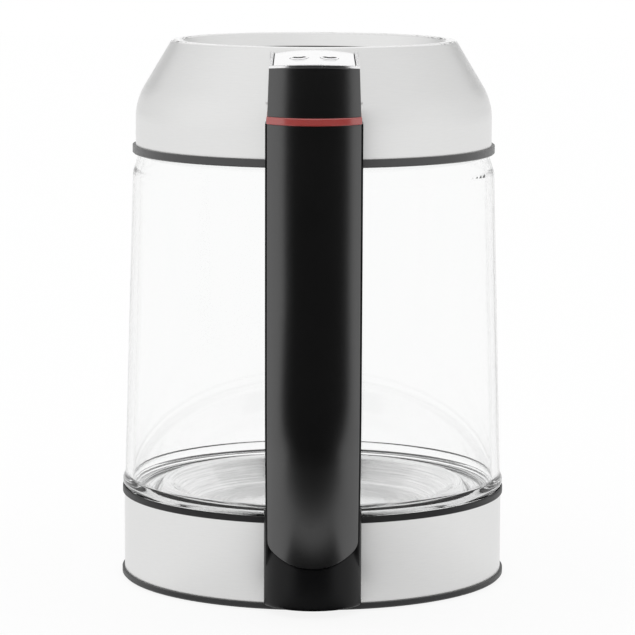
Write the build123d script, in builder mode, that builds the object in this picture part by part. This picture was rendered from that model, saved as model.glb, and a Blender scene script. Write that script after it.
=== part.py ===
from build123d import *

import os
from math import asin, cos, hypot, radians, sin, sqrt, tan

# Cordless glass electric kettle: the jug, modelled in millimetres.
# +Z is up and the origin is the centre of the power socket's mouth, on the plane the jug stands on.
# The handle points along -Y and the spout along +Y.

# Clearances
FIT = 0.1
SEAM = 0.3
RUNNING = 0.05

# Glass
GLASS_FOOT_R = 76.3
GLASS_H = 149.1
GLASS_WALL = 3.0
GLASS_TAPER = 3.4
GLASS_FOOT_WIDTH = 4.5
GLASS_FOOT_STEP = 1.0
FOOT_BEAD_PROUD = 0.8
FOOT_BEAD_H = 4.6
SHOULDER_DROP = 28.6
SHOULDER_RUN = 8.0
SHOULDER_LEAN = 0.24
SHOULDER_FILLET = 6.0
NECK_DRAW = 3.3
NECK_H = 11.6

# Base: foot ring, band and seal
FOOT_H = 2.4
FOOT_PROUD = 1.0
FOOT_LAND = 9.5
FOOT_CHAMFER = 0.6
FLOOR_T = 2.6
UPSTAND_H = 4.0
UPSTAND_T = 2.0
SHEET = 0.8
BAND_PROUD = 0.2
BAND_H = 31.5
BAND_LIP = 6.5
SEAL_LIP = 0.9
SEAL_FLOOR = 0.8
SEAL_H = 2.5
SEAL_SHELF = 2.0
SEAL_CHAMFER = 0.4
CHASSIS_T = 2.0
CHASSIS_SHELF = 10.8
BOSS_R = 3.6
FLOOR_SLOTS = 12
SLOT_WIDTH = 2.4
SLOT_MARGIN_IN = 10.0
SLOT_MARGIN_OUT = 6.0

# Collar, gasket and well for the lid
GASKET_PROUD = 3.2
GASKET_BAND = 3.2
GASKET_OVERLAP = 1.7
GASKET_CHAMFER = 0.4
COLLAR_PROUD = 1.9
COLLAR_WALL_H = 17.7
COLLAR_SHOULDER_FILLET = 25.0
CONE_DRAW = 14.6
CONE_H = 24.4
RIM_WIDTH = 4.0
RIM_FILLET = 2.0
RIM_INNER_FILLET = 1.2
WELL_LEAN = 2.9
WELL_DROP = 8.5

# Collar liner and lid seat
LINER_WALL = 2.0
LINER_LIP = 0.8
LINER_LEDGE = 2.0
DECK_T = 3.0
BORE_GAP = 1.2
BORE_DEPTH = 9.6
BORE_WALL = 2.2
SEGMENT_H = 2.2

# Spout and filter
SPOUT_STAND = 7.5
SPOUT_DROP = 3.6
SPOUT_H = 26.5
SPOUT_HALF_ANGLE = 37.0
SPOUT_NOSE_FILLET = 5.0
SPOUT_BLEND = 0.4
SPOUT_FLOOR = 2.5
FILTER_IN = 6.1
FILTER_T = 1.5
FILTER_HALF = 16.8
FILTER_SLOTS = 11
FILTER_SLOT_WIDTH = 1.4
FILTER_FRAME = 2.0
RAIL_T = 2.0
RAIL_LENGTH = 5.0

# Heating plate and what hangs under it
FLANGE_IN = 0.6
GROOVE_IN = 4.6
GROOVE_HALF = 1.8
GROOVE_DROP = 1.0
BEAD_IN = 3.6
BEAD_RISE = 2.6
BEAD_BACK = 3.0
BEAD_FALL = 1.0
DISH_RUN = 10.1
DISH_DROP = 7.0
DISH_EDGE = 2.5
PRESS_R = 1.2
DISH_TOP_R = 3.2
DISH_FOOT_R = 4.0
DIFFUSER_T = 3.0
DIFFUSER_EDGE = 9.0
DIFFUSER_CHAMFER = 1.0
ELEMENT_R = 3.3
ELEMENT_OPEN_ANGLE = 40.0
TERMINAL_R = 1.6
TERMINAL_DROP = 8.0
TERMINAL_TURN = 3.0

# Power socket and control unit
SOCKET_R = 21.5
SOCKET_WALL = 2.5
SOCKET_H = 9.0
OUTER_RING_R = 15.6
INNER_RING_R = 10.6
RING_WALL = 1.6
RING_GROOVE = 3.2
CENTRE_R = 2.8
CENTRE_BORE = 1.9
CONTACT_DROP = 0.6
CONTACT_H = 3.4
BIMETAL_T = 0.8
BIMETAL_R = 8.5
BIMETAL_X = 14.0
BIMETAL_SLIT = 1.2
CONTROL_SLOT = 5.0
CONTROL_SLOT_DEPTH = 1.5

# Lid and its hinge
LID_SIDE_GAP = 0.6
LID_STAND = 2.4
LID_SKIN = 0.8
LID_EDGE = 1.6
LID_EDGE_CHAMFER = 0.5
LID_RISE = 0.4
LID_BORDER = 9.4
LID_RAMP = 2.0
LID_FLANGE = 5.0
LID_PLUG_H = 6.4
LID_WALL = 2.0
PLUG_STEP = 0.8
KEEPER_HALF = 7.0
KEEPER_T = 4.0
KEEPER_DROP = 2.0
LID_GASKET_H = 1.5
LID_GASKET_PROUD = 0.8
HINGE_IN = 6.0
HINGE_RISE = 2.9
HINGE_PIN_R = 1.25
KNUCKLE_R = 2.6
KNUCKLE_GAP = 0.4
KNUCKLE_ROOT = 1.0
LID_KNUCKLE_IN = 4.6
LID_KNUCKLE_OUT = 8.5
EAR_T = 5.3
EAR_FRONT = 1.2
LID_SPRING_R = 2.3
LID_SPRING_WIRE = 0.6
LID_SPRING_END_GAP = 0.6
LID_SPRING_TURNS = 6

# Handle
HANDLE_STAND = 56.7
HANDLE_BOW_R = 900.0
BOW_RISE = 7.7
PATH_TOP = 6.0
PATH_OVERRUN = 6.0
GRIP_END_Z = 90.0
GRIP_BEND_R = 70.0
GRIP_TUCK_ANGLE = 30.0
GRIP_T = 24.0
GRIP_FILLET = 7.0
CROWN_R = 24.5
COVER_HALF = 17.3
COVER_WALL = 2.2
COVER_DEPTH = 9.0
COVER_FOOT_Z = 19.2
COVER_FOOT_RISE = 8.5
COVER_FOOT_FILLET = 6.0
FRAME_HALF = 18.05
FRAME_WALL = 2.5
BLOCK_HALF = 18.8
BLOCK_CROWN_R = 20.5
BLOCK_CORNER_R = 4.0
BLOCK_STEP = 0.3
BLOCK_LIFT = 0.2
BLOCK_TOP = 40.0
BLOCK_FILLET = 0.8
BLOCK_SINK = 16.5
BRIDGE_DROP = 7.8
BRIDGE_FILLET = 12.0
BRIDGE_SINK = 1.0
BRIDGE_STEP = 0.2
BRIDGE_IN = 3.1

# Handle head, bezel and button
HEAD_DROP = 2.2
HEAD_H = 22.1
HEAD_LEAN = 2.0
HEAD_FOOT_HALF = 17.25
HEAD_TOP_HALF = 16.6
HEAD_TOP_TILT = 1.2
HEAD_WALL = 2.2
HEAD_BACK = 1.1
RING_T = 2.8
RING_TILT = 1.0
RING_PROUD = 0.3
RING_CHAMFER = 0.35
TRIM_WIDTH = 1.6
TRIM_PROUD = 1.2
BEZEL_T = 0.8
BEZEL_SIDE = 1.2
BEZEL_FRONT = 2.6
BUTTON_GAP = 0.45
BUTTON_T = 2.4
BUTTON_CROWN_R = 150.0
DIMPLE_X = 6.1
DIMPLE_ARM = 34.0
DIMPLE_DEPTH = 0.55
DIMPLE_WIDTH = 7.6
DIMPLE_LENGTH = 21.0

# Button lever, latch and springs
PIVOT_OUT = 11.1
PIVOT_DROP = 5.4
PIVOT_R = 1.5
PIVOT_COVER = 0.35
LUG_IN = 9.5
LUG_T = 3.0
LUG_R = 3.0
LATCH_HALF = 4.5
LATCH_DROP = 5.4
LATCH_T = 3.6
LATCH_NOSE_GAP = 0.35
LATCH_NOSE_H = 1.6
LATCH_NOSE_RUN = 2.0
LATCH_TAIL = 7.0
CAM_ARM = 23.0
CAM_RISE = 3.2
CAM_GAP = 0.4
CAM_STAND = 2.2
CAM_WIDTH = 3.0
CAM_INSET = 1.0
ROOT = 0.5
WINDOW_GAP = 0.6
GUIDE_T = 2.0
GUIDE_ARM = 8.0
GUIDE_LENGTH = 12.0
GUIDE_ROOT = 1.0
SPRING_WIRE = 0.8
SPRING_GAP = 0.1
LATCH_SPRING_R = 2.2
LATCH_SPRING_LENGTH = 15.0
BUTTON_SPRING_R = 3.5
BUTTON_SPRING_IN = 7.0
SPRING_SEAT_R = 2.4
SPRING_SEAT_H = 3.0
SPRING_LIFT = 0.5

# Fasteners
SCREW_R = 1.5
SCREW_HEAD_R = 2.6
SCREW_HEAD_H = 2.0
SCREW_CHAMFER = 0.6
SCREW_RECESS = 0.7
SCREW_SEAT = 0.6
FLOOR_SCREWS = 3
FLOOR_SCREW_IN = 14.5
FLOOR_SCREW_LENGTH = 14.0
HANDLE_SCREW_X = 11.0
UPPER_SCREW_RISE = 14.9
UPPER_SCREW_LENGTH = 20.0
LOWER_SCREW_RISE = 15.6
LOWER_SCREW_LENGTH = 11.0

# Radii that follow, from the glass outwards and inwards
BAND_R = GLASS_FOOT_R + BAND_PROUD
FOOT_R = BAND_R + FOOT_PROUD
SEAL_R = GLASS_FOOT_R + SEAL_LIP
SHOULDER_R = GLASS_FOOT_R - GLASS_TAPER
NECK_R = SHOULDER_R - NECK_DRAW
GASKET_R = NECK_R + GASKET_PROUD
COLLAR_R = NECK_R + COLLAR_PROUD
RIM_R = COLLAR_R - CONE_DRAW
RIM_INNER_R = RIM_R - RIM_WIDTH
WELL_R = RIM_INNER_R - WELL_LEAN
LID_R = WELL_R - LID_SIDE_GAP
LID_PLUG_R = WELL_R - LID_FLANGE
BORE_R = LID_PLUG_R + BORE_GAP
FOOT_BORE_R = GLASS_FOOT_R - GLASS_WALL - GLASS_FOOT_WIDTH
FLANGE_R = GLASS_FOOT_R - FLANGE_IN
SEAL_INNER_R = FOOT_BORE_R - SEAL_SHELF
GROOVE_R = FOOT_BORE_R - GROOVE_IN
BEAD_R = GROOVE_R - BEAD_IN
DISH_R = BEAD_R - BEAD_BACK - DISH_RUN
DIFFUSER_R = DISH_R - DISH_EDGE
ELEMENT_RING_R = DIFFUSER_R - DIFFUSER_EDGE
CONTROL_R = SOCKET_R + SOCKET_WALL
CHASSIS_INNER_R = SEAL_INNER_R - CHASSIS_SHELF
FLOOR_SCREW_PCR = BAND_R - FLOOR_SCREW_IN

# Heights that follow, from the foot upwards
FLOOR_Z = FOOT_H + FLOOR_T
UPSTAND_Z = FLOOR_Z + UPSTAND_H
BAND_TOP = FOOT_H + BAND_H
SEAL_TOP = BAND_TOP + SEAL_H
SEAL_FLOOR_Z = BAND_TOP + SEAL_FLOOR
GLASS_Z = SEAL_FLOOR_Z + SHEET
GLASS_TOP = GLASS_Z + GLASS_H
SHOULDER_Z = GLASS_TOP - SHOULDER_DROP
NECK_Z = GLASS_TOP - NECK_H
GASKET_BOTTOM = NECK_Z - GASKET_OVERLAP
COLLAR_BOTTOM = GASKET_BOTTOM + GASKET_BAND
COLLAR_SHOULDER_Z = COLLAR_BOTTOM + COLLAR_WALL_H
TOP_Z = COLLAR_SHOULDER_Z + CONE_H
WELL_Z = TOP_Z - WELL_DROP
DECK_Z = WELL_Z - SEAM
DECK_LOW = DECK_Z - DECK_T
LID_TOP_Z = WELL_Z + LID_STAND
SPOUT_TOP = TOP_Z - SPOUT_DROP
SPOUT_BOTTOM = SPOUT_TOP - SPOUT_H
DISH_Z = GLASS_Z - DISH_DROP
DIFFUSER_Z = DISH_Z - SHEET - DIFFUSER_T
HEAD_TOP_Z = TOP_Z - HEAD_DROP
RING_Z = HEAD_TOP_Z - HEAD_H
BRIDGE_Z = RING_Z - BRIDGE_DROP
HANDLE_BOW_Z = RING_Z + BOW_RISE
BLOCK_Z = FOOT_H + BLOCK_LIFT
UPPER_SCREW_Z = COLLAR_BOTTOM + UPPER_SCREW_RISE
LOWER_SCREW_Z = FOOT_H + LOWER_SCREW_RISE

# Places along Y that follow, for the lid's hinge, the handle and the latch works
HINGE_Y = HINGE_IN - WELL_R
HINGE_Z = WELL_Z + HINGE_RISE
LID_CHORD_Y = -HINGE_Y - KNUCKLE_R - KNUCKLE_GAP
PLUG_CHORD_Y = LID_CHORD_Y + PLUG_STEP
HANDLE_REACH = GLASS_FOOT_R + HANDLE_STAND
HEAD_TOP_REACH = HANDLE_REACH - HEAD_LEAN
BACK_RUN = HANDLE_REACH - RIM_R - HEAD_BACK
BRIDGE_BACK = -RIM_R - BRIDGE_IN
PIVOT_Y = -RIM_R - PIVOT_OUT
PIVOT_Z = HEAD_TOP_Z - PIVOT_DROP
CAM_Y = PIVOT_Y - CAM_ARM
DIMPLE_Y = PIVOT_Y - DIMPLE_ARM
LATCH_Z = WELL_Z - LATCH_DROP
LATCH_TOP = LATCH_Z + LATCH_T
LATCH_REACH = LATCH_TAIL - CAM_Y
LATCH_STOP_Y = -LATCH_REACH - LATCH_SPRING_LENGTH
BUTTON_SPRING_Y = LATCH_STOP_Y - BUTTON_SPRING_IN
GUIDE_BACK = PIVOT_Y - GUIDE_ARM
GUIDE_FRONT = GUIDE_BACK - GUIDE_LENGTH
FILTER_Y = BORE_R + BORE_WALL + FILTER_IN

os.makedirs("parts", exist_ok=True)


def save(builder, name):
    """Label a finished piece and write it under its own name."""
    builder.part.label = name
    export_step(builder.part, f"parts/{name}.step")


# Planes and shapes that several pieces share
RING_PLANE = Plane(
    origin=(0, -HANDLE_REACH, RING_Z),
    x_dir=(1, 0, 0),
    z_dir=(0, -sin(radians(RING_TILT)), cos(radians(RING_TILT))),
)
HEAD_PLANE = Plane(
    origin=(0, -HEAD_TOP_REACH, HEAD_TOP_Z),
    x_dir=(1, 0, 0),
    z_dir=(0, -sin(radians(HEAD_TOP_TILT)), cos(radians(HEAD_TOP_TILT))),
)


def ring_height(y):
    """Height of the accent ring's lower plane at a given y."""
    return RING_Z + (y + HANDLE_REACH) * tan(radians(RING_TILT))


def head_height(y):
    """Height of the handle head's top plane at a given y."""
    return HEAD_TOP_Z + (y + HEAD_TOP_REACH) * tan(radians(HEAD_TOP_TILT))


def sag(half_width, radius):
    """How far a crown of this radius falls away at its half width."""
    return radius - sqrt(radius**2 - half_width**2)


def d_outline(half_width, front, radius):
    """Closed outline with a crowned front at local y = front and straight sides running back."""
    corner = front + sag(half_width, radius)
    with BuildLine() as outline:
        ThreePointArc((-half_width, corner), (0, front), (half_width, corner))
        Polyline((half_width, corner), (half_width, BACK_RUN), (-half_width, BACK_RUN), (-half_width, corner))
    return outline.line


# Handle path in the YZ plane: a long bow, a bend and a straight tuck into the block
BOW_CENTRE = HANDLE_REACH - HANDLE_BOW_R
BOW_END = asin((HANDLE_BOW_Z - GRIP_END_Z) / HANDLE_BOW_R)
BEND_START_R = BOW_CENTRE + HANDLE_BOW_R * cos(BOW_END)
BEND_CENTRE_R = BEND_START_R - GRIP_BEND_R * cos(BOW_END)
BEND_CENTRE_Z = GRIP_END_Z + GRIP_BEND_R * sin(BOW_END)
TUCK = radians(GRIP_TUCK_ANGLE)


def bow_point(angle):
    """Point on the bow, by its angle below the bow's centre height."""
    return (-(BOW_CENTRE + HANDLE_BOW_R * cos(angle)), HANDLE_BOW_Z - HANDLE_BOW_R * sin(angle))


def bend_point(angle):
    """Point on the bend, by the path's slope from the vertical."""
    return (-(BEND_CENTRE_R + GRIP_BEND_R * cos(angle)), BEND_CENTRE_Z - GRIP_BEND_R * sin(angle))


def tuck_point(height):
    """Point on the straight tuck at a given height."""
    start_y, start_z = bend_point(TUCK)
    return (start_y + (start_z - height) * tan(TUCK), height)


def handle_path():
    """The outer line of the grip, from above the accent ring down into the block."""
    top = -asin(PATH_TOP / HANDLE_BOW_R)
    with BuildLine(Plane.YZ) as path:
        ThreePointArc(bow_point(top), bow_point((top + BOW_END) / 2), bow_point(BOW_END))
        ThreePointArc(bend_point(BOW_END), bend_point((BOW_END + TUCK) / 2), bend_point(TUCK))
        Line(bend_point(TUCK), tuck_point(COVER_FOOT_Z - PATH_OVERRUN))
    return path.wire()


GRIP_PATH = handle_path()
GRIP_PLANE = Plane(origin=GRIP_PATH @ 0, x_dir=(1, 0, 0), z_dir=GRIP_PATH % 0)
BLOCK_REACH = -tuck_point(COVER_FOOT_Z)[0] - BLOCK_STEP


def collar_outline(grow):
    """Points of the collar's outer profile, moved outwards by grow."""
    return [
        (COLLAR_R + grow, COLLAR_BOTTOM),
        (COLLAR_R + grow, COLLAR_SHOULDER_Z + grow / 2),
        (RIM_R + grow, TOP_Z + grow / 2),
        (RIM_INNER_R, TOP_Z),
        (WELL_R, WELL_Z),
    ]


def collar_form(grow):
    """Solid inside the collar's outer surface, used to fit pieces against it."""
    points = collar_outline(grow)
    with BuildPart() as form:
        with BuildSketch(Plane.XZ):
            with BuildLine():
                FilletPolyline(*points[:3], radius=COLLAR_SHOULDER_FILLET)
                Polyline(points[2], (0, points[2][1]), (0, COLLAR_BOTTOM), points[0])
            make_face()
        revolve(axis=Axis.Z)
    return form.part


def body_form(grow):
    """Solid inside the base band, seal and glass, used to fit the handle against them."""
    with BuildPart() as form:
        with BuildSketch(Plane.XZ):
            with BuildLine():
                Polyline(
                    (0, 0),
                    (BAND_R + grow, 0),
                    (BAND_R + grow, BAND_TOP - SEAM),
                    (SEAL_R + SEAM, BAND_TOP - SEAM),
                    (SEAL_R + SEAM, SHOULDER_Z),
                    (0, SHOULDER_Z),
                    close=True,
                )
            make_face()
        revolve(axis=Axis.Z)
    return form.part


def screw(length):
    """A cross-recessed pan head screw with its head below the origin and its shank pointing up."""
    with BuildPart() as body:
        with BuildSketch(Plane.XZ):
            with BuildLine():
                Polyline(
                    (0, -SCREW_HEAD_H),
                    (SCREW_HEAD_R - SCREW_CHAMFER, -SCREW_HEAD_H),
                    (SCREW_HEAD_R, SCREW_CHAMFER - SCREW_HEAD_H),
                    (SCREW_HEAD_R, 0),
                    (SCREW_R, 0),
                    (SCREW_R, length),
                    (0, length),
                    close=True,
                )
            make_face()
        revolve(axis=Axis.Z)
        with BuildSketch(Plane.XY.offset(-SCREW_HEAD_H)):
            Rectangle(SCREW_HEAD_R, SCREW_RECESS)
            Rectangle(SCREW_RECESS, SCREW_HEAD_R)
        extrude(amount=SCREW_HEAD_H / 2, mode=Mode.SUBTRACT)
    return body.part


# Base cover: the foot ring, the underside and the wall of the power socket
UPSTAND_R = BAND_R - SHEET - SEAM
SLOT_IN = CONTROL_R + SLOT_MARGIN_IN
SLOT_OUT = FLOOR_SCREW_PCR - SLOT_MARGIN_OUT
with BuildPart() as base_cover:
    with BuildSketch(Plane.XZ):
        with BuildLine():
            Polyline(
                (SOCKET_R, 0),
                (CONTROL_R, 0),
                (CONTROL_R, FOOT_H),
                (FOOT_R - FOOT_LAND - FOOT_H, FOOT_H),
                (FOOT_R - FOOT_LAND, 0),
                (FOOT_R - FOOT_CHAMFER, 0),
                (FOOT_R, FOOT_CHAMFER),
                (FOOT_R, FOOT_H),
                (UPSTAND_R, FOOT_H),
                (UPSTAND_R, UPSTAND_Z),
                (UPSTAND_R - UPSTAND_T, UPSTAND_Z),
                (UPSTAND_R - UPSTAND_T, FLOOR_Z),
                (CONTROL_R, FLOOR_Z),
                (CONTROL_R, SOCKET_H),
                (SOCKET_R, SOCKET_H),
                close=True,
            )
        make_face()
    revolve(axis=Axis.Z)
    with BuildSketch(Plane.XY):
        with PolarLocations((SLOT_IN + SLOT_OUT) / 2, FLOOR_SLOTS, start_angle=180 / FLOOR_SLOTS):
            SlotOverall(SLOT_OUT - SLOT_IN, SLOT_WIDTH)
        with PolarLocations(FLOOR_SCREW_PCR, FLOOR_SCREWS, start_angle=90):
            Circle(SCREW_R + FIT)
    extrude(amount=UPSTAND_Z, mode=Mode.SUBTRACT)
save(base_cover, "base_cover")

# Base cover screws: heads under the floor, shanks up into the chassis
with BuildPart() as base_cover_screws:
    with PolarLocations(FLOOR_SCREW_PCR, FLOOR_SCREWS, start_angle=90):
        with Locations((0, 0, FOOT_H)):
            add(screw(FLOOR_SCREW_LENGTH))
save(base_cover_screws, "base_cover_screws")

# Base chassis: plastic ring inside the band, with a boss for each floor screw
CHASSIS_TOP = BAND_TOP - SHEET
CHASSIS_R = BAND_R - SHEET - FIT
with BuildPart() as base_chassis:
    with BuildSketch(Plane.XZ):
        with BuildLine():
            Polyline(
                (CHASSIS_R, UPSTAND_Z + SEAM),
                (CHASSIS_R, CHASSIS_TOP),
                (CHASSIS_INNER_R, CHASSIS_TOP),
                (CHASSIS_INNER_R, CHASSIS_TOP - CHASSIS_T),
                (CHASSIS_R - CHASSIS_T, CHASSIS_TOP - CHASSIS_T),
                (CHASSIS_R - CHASSIS_T, UPSTAND_Z + SEAM),
                close=True,
            )
        make_face()
    revolve(axis=Axis.Z)
    with BuildSketch(Plane.XY.offset(FLOOR_Z)):
        with PolarLocations(FLOOR_SCREW_PCR, FLOOR_SCREWS, start_angle=90):
            Circle(BOSS_R)
    extrude(amount=CHASSIS_TOP - FLOOR_Z - CHASSIS_T / 2)
    with BuildSketch(Plane.XY.offset(FLOOR_Z)):
        with PolarLocations(FLOOR_SCREW_PCR, FLOOR_SCREWS, start_angle=90):
            Circle(SCREW_R)
    extrude(amount=FLOOR_SCREW_LENGTH, mode=Mode.SUBTRACT)
    with BuildSketch(Plane.XZ):
        with Locations((-HANDLE_SCREW_X, LOWER_SCREW_Z), (HANDLE_SCREW_X, LOWER_SCREW_Z)):
            Circle(SCREW_R + FIT)
    extrude(amount=FOOT_R, mode=Mode.SUBTRACT)
save(base_chassis, "base_chassis")

# Base band: the satin steel skirt with its top edge turned in
with BuildPart() as base_band:
    with BuildSketch(Plane.XZ):
        with BuildLine():
            Polyline(
                (BAND_R, FOOT_H),
                (BAND_R, BAND_TOP),
                (BAND_R - BAND_LIP, BAND_TOP),
                (BAND_R - BAND_LIP, BAND_TOP - SHEET),
                (BAND_R - SHEET, BAND_TOP - SHEET),
                (BAND_R - SHEET, FOOT_H),
                close=True,
            )
        make_face()
    revolve(axis=Axis.Z)
    with BuildSketch(Plane.XZ):
        with Locations((-HANDLE_SCREW_X, LOWER_SCREW_Z), (HANDLE_SCREW_X, LOWER_SCREW_Z)):
            Circle(SCREW_R + FIT)
    extrude(amount=FOOT_R, mode=Mode.SUBTRACT)
save(base_band, "base_band")

# Lower seal: carries the heating plate's flange, on which the glass stands
with BuildPart() as lower_seal:
    with BuildSketch(Plane.XZ):
        with BuildLine():
            Polyline(
                (SEAL_INNER_R, BAND_TOP),
                (SEAL_R, BAND_TOP),
                (SEAL_R, SEAL_TOP - SEAL_CHAMFER),
                (SEAL_R - SEAL_CHAMFER, SEAL_TOP),
                (GLASS_FOOT_R + FIT, SEAL_TOP),
                (GLASS_FOOT_R + FIT, SEAL_FLOOR_Z),
                (SEAL_INNER_R, SEAL_FLOOR_Z),
                close=True,
            )
        make_face()
    revolve(axis=Axis.Z)
save(lower_seal, "lower_seal")

# Glass body: tapered tube with a thickened, beaded foot and a drawn-in neck
FOOT_STEP_Z = GLASS_Z + GLASS_FOOT_STEP
SHOULDER_END_R = SHOULDER_R - SHOULDER_LEAN
FOOT_BEAD_Z = SEAL_TOP + FIT
FOOT_BEAD_TOP = FOOT_BEAD_Z + FOOT_BEAD_H
FOOT_BEAD_END_R = GLASS_FOOT_R - GLASS_TAPER * (FOOT_BEAD_TOP - GLASS_Z) / (SHOULDER_Z - GLASS_Z)
with BuildPart() as glass_body:
    with BuildSketch(Plane.XZ):
        with BuildLine():
            Line((GLASS_FOOT_R, GLASS_Z), (GLASS_FOOT_R, FOOT_BEAD_Z))
            ThreePointArc(
                (GLASS_FOOT_R, FOOT_BEAD_Z),
                (GLASS_FOOT_R + FOOT_BEAD_PROUD, FOOT_BEAD_Z + FOOT_BEAD_H / 2),
                (FOOT_BEAD_END_R, FOOT_BEAD_TOP),
            )
            Line((FOOT_BEAD_END_R, FOOT_BEAD_TOP), (SHOULDER_R, SHOULDER_Z))
            FilletPolyline(
                (SHOULDER_R, SHOULDER_Z),
                (SHOULDER_END_R, SHOULDER_Z + SHOULDER_RUN),
                (NECK_R, NECK_Z),
                (NECK_R, GLASS_TOP),
                radius=SHOULDER_FILLET,
            )
            Line((NECK_R, GLASS_TOP), (NECK_R - GLASS_WALL, GLASS_TOP))
            FilletPolyline(
                (NECK_R - GLASS_WALL, GLASS_TOP),
                (NECK_R - GLASS_WALL, NECK_Z),
                (SHOULDER_END_R - GLASS_WALL, SHOULDER_Z + SHOULDER_RUN),
                (SHOULDER_R - GLASS_WALL, SHOULDER_Z),
                radius=SHOULDER_FILLET,
            )
            FilletPolyline(
                (SHOULDER_R - GLASS_WALL, SHOULDER_Z),
                (GLASS_FOOT_R - GLASS_WALL, FOOT_STEP_Z),
                (FOOT_BORE_R, FOOT_STEP_Z),
                radius=GLASS_FOOT_WIDTH - SEAM,
            )
            Polyline((FOOT_BORE_R, FOOT_STEP_Z), (FOOT_BORE_R, GLASS_Z), (GLASS_FOOT_R, GLASS_Z))
        make_face()
    revolve(axis=Axis.Z)
save(glass_body, "glass_body")

# Upper gasket: dark ring between the glass and the collar
with BuildPart() as upper_gasket:
    with BuildSketch(Plane.XZ):
        with BuildLine():
            Polyline(
                (NECK_R + LINER_LIP, GASKET_BOTTOM),
                (GASKET_R - GASKET_CHAMFER, GASKET_BOTTOM),
                (GASKET_R, GASKET_BOTTOM + GASKET_CHAMFER),
                (GASKET_R, COLLAR_BOTTOM),
                (NECK_R + FIT, COLLAR_BOTTOM),
                (NECK_R + FIT, NECK_Z + LINER_LIP),
                close=True,
            )
        make_face()
    revolve(axis=Axis.Z)
save(upper_gasket, "upper_gasket")


def spout_reach(height):
    """How far the spout's nose stands out at a given height."""
    share = (height - SPOUT_BOTTOM) / SPOUT_H
    return COLLAR_R + SPOUT_BLEND + share * (SPOUT_STAND - SPOUT_BLEND)


def spout_form(inset, back, low, high):
    """V-shaped beak lofted between two heights, moved inwards by inset and ending at y = back."""
    slope = radians(SPOUT_HALF_ANGLE)
    with BuildPart() as form:
        for height in (low, high):
            nose = spout_reach(height) - inset / sin(slope)
            half = (nose - back) * tan(slope)
            with BuildSketch(Plane.XY.offset(height)):
                with BuildLine():
                    Polyline((-half, back), (0, nose), (half, back), close=True)
                face = make_face()
                fillet(face.vertices().sort_by(Axis.Y)[-1], SPOUT_NOSE_FILLET - inset)
        loft()
    return form.part


# Collar: the satin steel top with its rim, the well for the lid, the spout and a window for the latch
WINDOW_HALF = LATCH_HALF + WINDOW_GAP
WINDOW_H = LATCH_T + 2 * WINDOW_GAP
WINDOW_Z = LATCH_Z + LATCH_T / 2
with BuildPart() as collar:
    with BuildSketch(Plane.XZ):
        with BuildLine():
            skin = FilletPolyline(
                *collar_outline(0), radius=[COLLAR_SHOULDER_FILLET, RIM_FILLET, RIM_INNER_FILLET]
            )
            offset(skin, amount=SHEET, side=Side.LEFT)
        make_face()
    revolve(axis=Axis.Z)
    add(spout_form(0, BORE_R, SPOUT_BOTTOM, SPOUT_TOP) - collar_form(-SHEET / 2))
    add(spout_form(SHEET, RIM_R - SHEET, SPOUT_BOTTOM + SPOUT_FLOOR, SPOUT_TOP + SHEET), mode=Mode.SUBTRACT)
    with BuildSketch(Plane.XZ):
        with Locations((0, WINDOW_Z)):
            Rectangle(2 * WINDOW_HALF, WINDOW_H)
        with Locations((-HANDLE_SCREW_X, UPPER_SCREW_Z), (HANDLE_SCREW_X, UPPER_SCREW_Z)):
            Circle(SCREW_R + FIT)
    extrude(amount=FOOT_R, mode=Mode.SUBTRACT)
save(collar, "collar")

# Collar liner: plastic ring inside the collar that presses on the glass, open behind the spout
SKIN_GAP = SHEET + FIT
CONE_SLOPE = CONE_DRAW / CONE_H
CONE_STRETCH = hypot(CONE_DRAW, CONE_H) / CONE_H
SKIRT_R = COLLAR_R - SKIN_GAP
INNER_R = SKIRT_R - LINER_WALL
LINER_LIP_R = NECK_R - GLASS_WALL - LINER_LIP


def cone_radius(height, inset):
    """Radius of the collar's cone at a given height, measured inset below its outer surface."""
    return COLLAR_R - (height - COLLAR_SHOULDER_Z) * CONE_SLOPE - inset * CONE_STRETCH


def cone_height(radius, inset):
    """Height at which the collar's inset cone reaches a given radius."""
    return COLLAR_SHOULDER_Z + (cone_radius(COLLAR_SHOULDER_Z, inset) - radius) / CONE_SLOPE


with BuildPart() as collar_liner:
    with BuildSketch(Plane.XZ):
        with BuildLine():
            FilletPolyline(
                (SKIRT_R, COLLAR_BOTTOM),
                (SKIRT_R, cone_height(SKIRT_R, SKIN_GAP)),
                (cone_radius(DECK_LOW, SKIN_GAP), DECK_LOW),
                radius=COLLAR_SHOULDER_FILLET - SKIN_GAP,
            )
            Polyline(
                (cone_radius(DECK_LOW, SKIN_GAP), DECK_LOW),
                (cone_radius(DECK_LOW, SKIN_GAP + LINER_WALL), DECK_LOW),
                (INNER_R, cone_height(INNER_R, SKIN_GAP + LINER_WALL)),
                (INNER_R, GLASS_TOP + LINER_LEDGE),
                (LINER_LIP_R, GLASS_TOP + LINER_LEDGE),
                (LINER_LIP_R, GLASS_TOP),
                (NECK_R + FIT, GLASS_TOP),
                (NECK_R + FIT, COLLAR_BOTTOM),
                (SKIRT_R, COLLAR_BOTTOM),
            )
        make_face()
    revolve(axis=Axis.Z)
    with BuildSketch(Plane.XZ.offset(-BORE_R)):
        with Locations((0, (SPOUT_BOTTOM + SPOUT_FLOOR + DECK_LOW) / 2)):
            Rectangle(2 * (FILTER_HALF - FILTER_FRAME), DECK_LOW - SPOUT_BOTTOM - SPOUT_FLOOR)
    extrude(amount=-BORE_R, mode=Mode.SUBTRACT)
    with BuildSketch(Plane.XZ):
        with Locations((0, WINDOW_Z)):
            Rectangle(2 * WINDOW_HALF, WINDOW_H)
        with Locations((-HANDLE_SCREW_X, UPPER_SCREW_Z), (HANDLE_SCREW_X, UPPER_SCREW_Z)):
            Circle(SCREW_R + FIT)
    extrude(amount=FOOT_R, mode=Mode.SUBTRACT)
save(collar_liner, "collar_liner")

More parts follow.
